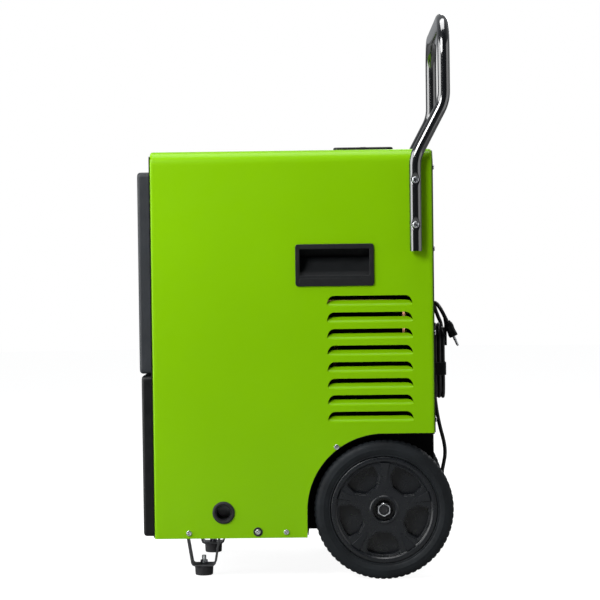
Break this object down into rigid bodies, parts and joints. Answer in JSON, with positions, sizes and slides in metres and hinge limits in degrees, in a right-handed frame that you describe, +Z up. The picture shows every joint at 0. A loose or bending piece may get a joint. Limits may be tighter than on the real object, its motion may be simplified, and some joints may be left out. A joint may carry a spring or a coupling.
{
  "type": "commercial dehumidifier",
  "caption": "Upright cabinet dehumidifier with a bent push handle, rear wheels, front feet, side louvres, recessed grips and a pull-out water tank.",
  "frame": {"origin": "on the floor, at the middle of the footprint of the machine without its mains lead", "axes": "+Z up, -X towards the front grille, -Y towards the side with the drain hole"},
  "size_m": [0.5752, 0.5256, 1.012],
  "materials": {
    "green_paint": "gloss",
    "black_paint": "satin",
    "handle_paint": "gloss",
    "charcoal_plastic": "satin",
    "black_plastic": "satin",
    "tyre_rubber": "matte",
    "black_rubber": "matte",
    "zinc_plate": "satin",
    "galvanised": "satin",
    "dark_lens": "gloss",
    "board_green": "satin",
    "button_grey": "satin",
    "filter_mesh": "matte",
    "tank_plastic": "satin",
    "nylon": "satin",
    "fin_aluminium": "satin",
    "copper_pipe": "satin",
    "compressor_black": "satin",
    "motor_metal": "satin",
    "fan_plastic": "satin",
    "lead_sheath": "matte",
    "strap_fabric": "matte"
  },
  "bodies": {
    "root": {"base_pan": "galvanised", "casing_cover": "green_paint", "back_panel": "black_paint", "front_frame": "black_paint", "front_grille": "charcoal_plastic", "air_filter": "filter_mesh", "control_panel": "black_plastic", "display_lens": "dark_lens", "control_board": "board_green", "push_handle": "handle_paint", "drain_grommet": "black_rubber", "axle": "zinc_plate", "axle_cradle": "galvanised", "wheel_well_left": "black_plastic", "pocket_handle_left": "charcoal_plastic", "handle_screw_upper_left": "zinc_plate", "handle_screw_lower_left": "zinc_plate", "wheel_nut_left": "zinc_plate", "foot_strap_left": "galvanised", "rubber_foot_left": "black_rubber", "foot_bolt_left": "zinc_plate", "wheel_well_right": "black_plastic", "pocket_handle_right": "charcoal_plastic", "handle_screw_upper_right": "zinc_plate", "handle_screw_lower_right": "zinc_plate", "wheel_nut_right": "zinc_plate", "foot_strap_right": "galvanised", "rubber_foot_right": "black_rubber", "foot_bolt_right": "zinc_plate", "partition": "galvanised", "drip_tray": "tank_plastic", "evaporator": "fin_aluminium", "condenser": "fin_aluminium", "fan_shroud": "galvanised", "fan_motor": "motor_metal", "compressor": "compressor_black", "discharge_pipe": "copper_pipe", "suction_pipe": "copper_pipe", "electrical_box": "galvanised", "cord_hook": "black_plastic", "cord_gland": "black_plastic", "mains_lead_lower": "lead_sheath", "mains_lead_upper": "lead_sheath", "mains_lead_hank": "lead_sheath", "hank_tie": "strap_fabric", "mains_plug": "black_plastic"},
    "wheel_left": {"tyre_left": "tyre_rubber", "wheel_rim_left": "charcoal_plastic", "wheel_bush_left": "nylon"},
    "wheel_right": {"tyre_right": "tyre_rubber", "wheel_rim_right": "charcoal_plastic", "wheel_bush_right": "nylon"},
    "fan": {"fan": "fan_plastic"},
    "tank": {"water_tank": "tank_plastic", "tank_front": "charcoal_plastic"},
    "float": {"tank_float": "nylon"},
    "power_button": {"button_power": "button_grey"},
    "mode_button": {"button_mode": "button_grey"},
    "down_button": {"button_down": "button_grey"},
    "up_button": {"button_up": "button_grey"}
  },
  "joints": [
    {"name": "wheel_left_spin", "type": "hinge", "parent": "root", "child": "wheel_left", "pos_m": [0.154, -0.21, 0.125], "axis": [0, 1, 0], "continuous": true},
    {"name": "wheel_right_spin", "type": "hinge", "parent": "root", "child": "wheel_right", "pos_m": [0.154, 0.21, 0.125], "axis": [0, 1, 0], "continuous": true},
    {"name": "fan_spin", "type": "hinge", "parent": "root", "child": "fan", "pos_m": [-0.091, 0, 0.55], "axis": [1, 0, 0], "continuous": true},
    {"name": "tank_slide", "type": "slide", "parent": "root", "child": "tank", "axis": [-1, 0, 0], "range_m": [0, 0.2]},
    {"name": "float_hinge", "type": "hinge", "parent": "tank", "child": "float", "pos_m": [-0.076, 0.109, 0.302], "axis": [0, 1, 0], "range_deg": [0, 18]},
    {"name": "power_button_press", "type": "slide", "parent": "root", "child": "power_button", "axis": [0, 0, -1], "range_m": [0, 0.001], "stiffness_N_per_m": 400},
    {"name": "mode_button_press", "type": "slide", "parent": "root", "child": "mode_button", "axis": [0, 0, -1], "range_m": [0, 0.001], "stiffness_N_per_m": 400},
    {"name": "down_button_press", "type": "slide", "parent": "root", "child": "down_button", "axis": [0, 0, -1], "range_m": [0, 0.001], "stiffness_N_per_m": 400},
    {"name": "up_button_press", "type": "slide", "parent": "root", "child": "up_button", "axis": [0, 0, -1], "range_m": [0, 0.001], "stiffness_N_per_m": 400}
  ]
}
